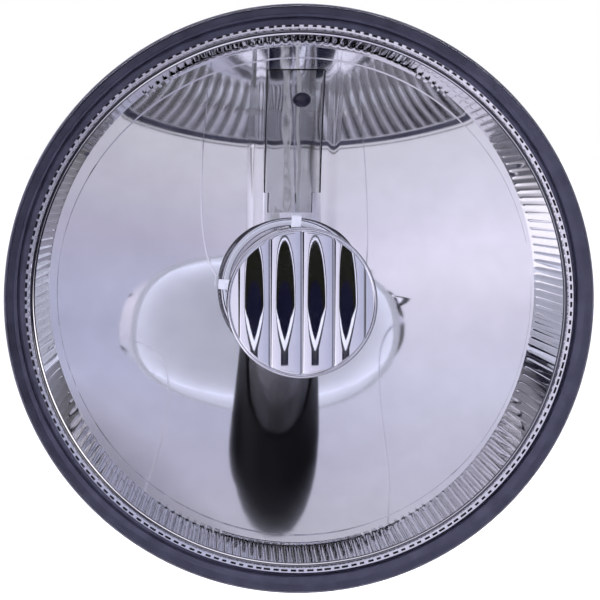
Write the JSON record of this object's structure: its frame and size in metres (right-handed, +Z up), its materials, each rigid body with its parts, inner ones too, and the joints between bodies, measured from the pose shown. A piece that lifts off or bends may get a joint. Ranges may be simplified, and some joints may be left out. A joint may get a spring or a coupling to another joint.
{
  "type": "fog light",
  "caption": "Round clear-lens fog light with a metallised bowl, ribbed bulb shield and quarter-turn bulb, tilting on a steel yoke bracket with an aim screw.",
  "frame": {"origin": "centre of the bracket's four bolt holes, on the mounting face of its spacers", "axes": "+Z up; the light shines along -Y; +Y points out of the mounting face into the vehicle"},
  "size_m": [0.112, 0.09, 0.112],
  "materials": {
    "lens_glass": "clear, polished, dark at the flange",
    "sealant": "dark sealing compound, matt",
    "reflector_metal": "vacuum metallised, mirror bright",
    "housing_plastic": "glass-filled plastic, fine grain",
    "shield_chrome": "bright chrome",
    "strip_metal": "bright rolled sheet",
    "pin_plastic": "dark glossy",
    "zinc_steel": "zinc plated",
    "black_rubber": "moulded rubber",
    "red_rubber": "silicone rubber",
    "brass": "turned",
    "tinned_brass": "tin plated",
    "white_plastic": "nylon",
    "bulb_glass": "clear quartz",
    "black_coating": "black heat-proof coating",
    "tungsten": "drawn wire",
    "holder_plastic": "moulded plastic",
    "coated_steel": "black electrocoat over pressed steel"
  },
  "bodies": {
    "bracket": {"bracket": "coated_steel", "bracket_spacers": "zinc_steel", "pivot_bushes": "white_plastic", "adjuster_bush": "white_plastic"},
    "head": {"lens": "lens_glass", "lens_seal": "sealant", "reflector": "reflector_metal", "housing": "housing_plastic", "bulb_shield": "shield_chrome", "shield_collar": "shield_chrome", "heat_strip": "strip_metal", "heat_strip_pin": "pin_plastic", "reflector_screws": "zinc_steel", "vent_cap": "black_rubber", "pivot_inserts": "brass", "pivot_screws": "zinc_steel", "adjuster_nut": "white_plastic"},
    "bulb": {"bulb_glass": "bulb_glass", "bulb_tip": "black_coating", "filament": "tungsten", "filament_posts": "tungsten", "bulb_ferrule": "shield_chrome", "bulb_holder": "holder_plastic", "bulb_oring": "red_rubber", "bulb_terminals": "tinned_brass"},
    "adjuster": {"adjuster_screw": "zinc_steel", "adjuster_clip": "zinc_steel"}
  },
  "joints": [
    {"name": "head_tilt", "type": "hinge", "parent": "bracket", "child": "head", "pos_m": [0, -0.032, 0], "axis": [1, 0, 0], "range_deg": [-4, 4]},
    {"name": "adjuster_turn", "type": "hinge", "parent": "bracket", "child": "adjuster", "pos_m": [0, -0.032, 0.038], "axis": [0, 1, 0], "range_deg": [-480, 480]},
    {"name": "bulb_twist", "type": "hinge", "parent": "head", "child": "bulb", "pos_m": [0, -0.036, 0], "axis": [0, 1, 0], "range_deg": [0, 45]}
  ],
  "couplings": [
    {"joint": "adjuster_turn", "follows": "head_tilt", "ratio": 119.38}
  ]
}
